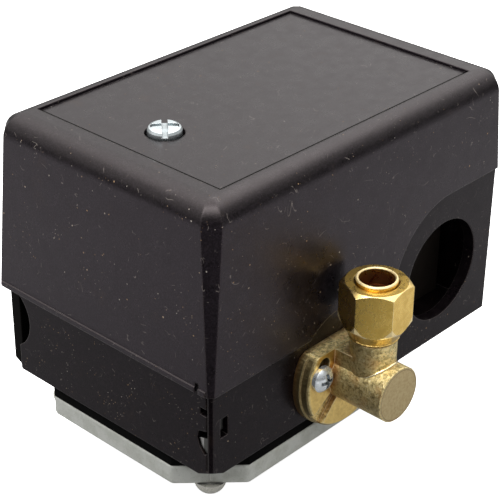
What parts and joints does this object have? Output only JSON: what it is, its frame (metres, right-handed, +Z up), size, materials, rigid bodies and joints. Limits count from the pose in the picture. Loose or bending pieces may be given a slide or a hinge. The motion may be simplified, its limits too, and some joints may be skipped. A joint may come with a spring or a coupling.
{
  "type": "pressure switch",
  "caption": "Diaphragm pressure switch: black cover and housing on a square cast flange with a threaded port, conduit openings and a side unloader valve with a tube fitting.",
  "frame": {"origin": "centre of the pressure port's mouth, at the bottom of the hexagonal boss", "axes": "+X towards the conduit end, -Y is the unloader valve's side, +Z up through the cover"},
  "size_m": [0.0869, 0.073, 0.0733],
  "materials": {
    "cover_plastic": "moulded black, fine matte texture",
    "housing_plastic": "moulded black, slightly warm",
    "block_plastic": "moulded phenolic, dark brown",
    "carrier_plastic": "moulded ivory",
    "piston_plastic": "moulded white",
    "cast_aluminium": "as cast, light grey",
    "rubber": "black sheet rubber",
    "frame_steel": "galvanised sheet",
    "zinc_steel": "bright zinc plate, slightly blue",
    "spring_steel": "oiled spring wire",
    "stem_steel": "turned steel",
    "contact_brass": "copper strip with silver tips",
    "terminal_brass": "brass screws",
    "green_paint": "green plated",
    "valve_brass": "forged brass, tarnished olive",
    "nut_brass": "turned brass, bright edges"
  },
  "bodies": {
    "housing": {"housing": "housing_plastic", "cover_post": "zinc_steel", "pressure_flange": "cast_aluminium", "flange_screws": "zinc_steel", "diaphragm": "rubber", "frame": "frame_steel", "pivot_pin": "zinc_steel", "pivot_pin_clip": "spring_steel", "range_spring": "spring_steel", "range_spring_cap": "frame_steel", "range_stud": "zinc_steel", "differential_spring": "spring_steel", "differential_stud": "zinc_steel", "terminal_block": "block_plastic", "fixed_contacts": "contact_brass", "terminal_screws": "terminal_brass", "ground_screws": "green_paint", "block_screws": "zinc_steel", "valve_body": "valve_brass", "valve_guide": "valve_brass", "valve_screws": "zinc_steel", "valve_spring": "spring_steel", "compression_sleeve": "nut_brass"},
    "cover": {"cover": "cover_plastic"},
    "cover_screw": {"cover_screw": "zinc_steel"},
    "lever": {"lever": "frame_steel", "range_spring_seat": "frame_steel"},
    "piston": {"piston": "piston_plastic"},
    "contact_carrier": {"contact_carrier": "carrier_plastic", "moving_contacts": "contact_brass", "contact_springs": "spring_steel"},
    "valve_stem": {"valve_stem": "stem_steel", "valve_seal": "rubber"},
    "range_nut": {"range_nut": "zinc_steel"},
    "differential_nut": {"differential_nut": "zinc_steel"},
    "compression_nut": {"compression_nut": "nut_brass"}
  },
  "joints": [
    {"name": "cover_lift", "type": "slide", "parent": "housing", "child": "cover", "axis": [0, 0, 1], "range_m": [0, 0.045]},
    {"name": "cover_screw_turn", "type": "hinge", "parent": "cover", "child": "cover_screw", "pos_m": [-0.0111, 0, 0.07], "axis": [0, 0, 1], "continuous": true},
    {"name": "lever_tilt", "type": "hinge", "parent": "housing", "child": "lever", "pos_m": [-0.0195, 0, 0.0255], "axis": [0, -1, 0], "range_deg": [0, 2.9], "deforming": ["range_spring", "differential_spring"]},
    {"name": "piston_lift", "type": "slide", "parent": "housing", "child": "piston", "axis": [0, 0, 1], "range_m": [0, 0.001]},
    {"name": "contact_lift", "type": "slide", "parent": "housing", "child": "contact_carrier", "axis": [0, 0, 1], "range_m": [0, 0.0026]},
    {"name": "valve_stem_push", "type": "slide", "parent": "housing", "child": "valve_stem", "axis": [0, -1, 0], "range_m": [0, 0.0014], "deforming": ["valve_spring"]},
    {"name": "range_nut_turn", "type": "hinge", "parent": "housing", "child": "range_nut", "pos_m": [0.018, 0, 0.053], "axis": [0, 0, 1], "continuous": true},
    {"name": "differential_nut_turn", "type": "hinge", "parent": "housing", "child": "differential_nut", "pos_m": [0.011, 0.012, 0.046], "axis": [0, 0, 1], "continuous": true},
    {"name": "compression_nut_turn", "type": "hinge", "parent": "housing", "child": "compression_nut", "pos_m": [0.0061, -0.0372, 0.042], "axis": [0, 0, 1], "continuous": true}
  ],
  "couplings": [
    {"joint": "piston_lift", "follows": "lever_tilt", "m_per_rad": 0.0195},
    {"joint": "contact_lift", "follows": "lever_tilt", "m_per_rad": 0.0495},
    {"joint": "valve_stem_push", "follows": "lever_tilt", "m_per_rad": 0.0256}
  ]
}
